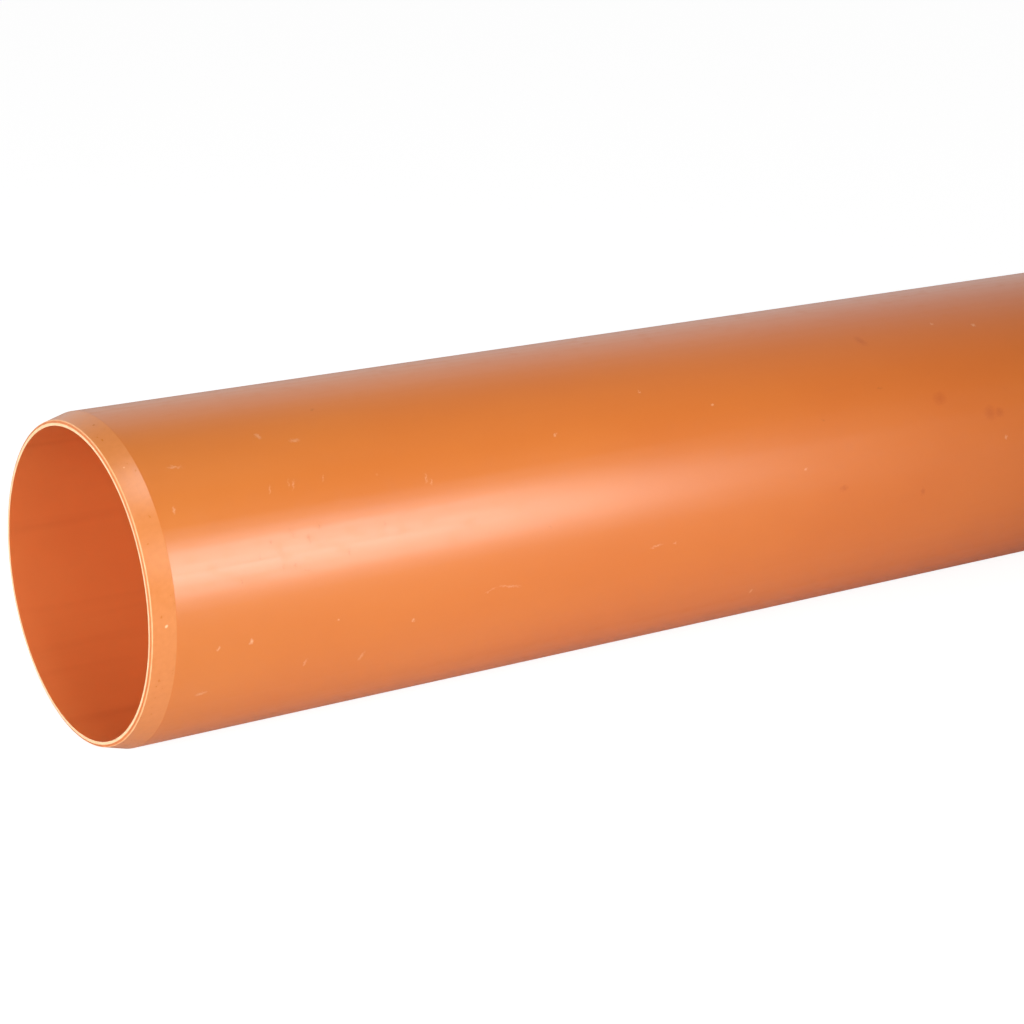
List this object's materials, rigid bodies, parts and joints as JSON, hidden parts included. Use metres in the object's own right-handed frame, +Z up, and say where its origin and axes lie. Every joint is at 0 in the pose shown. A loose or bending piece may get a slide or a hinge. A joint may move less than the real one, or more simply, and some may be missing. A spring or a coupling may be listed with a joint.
{
  "type": "plastic sewer pipe",
  "caption": "Straight plain-ended plastic sewer pipe, smooth inside and out, with a sawn face and a lead-in chamfer at each end for push-fit sockets.",
  "frame": {"origin": "on the ground, below the middle of the lying pipe", "axes": "+X along the pipe, away from the end that the picture shows; +Z up"},
  "size_m": [1, 0.11, 0.11],
  "materials": {
    "pvc": "satin extruded orange PVC-U, matte on the cut chamfer and pale on the sawn face"
  },
  "bodies": {
    "root": {"pipe": "pvc"}
  },
  "joints": []
}
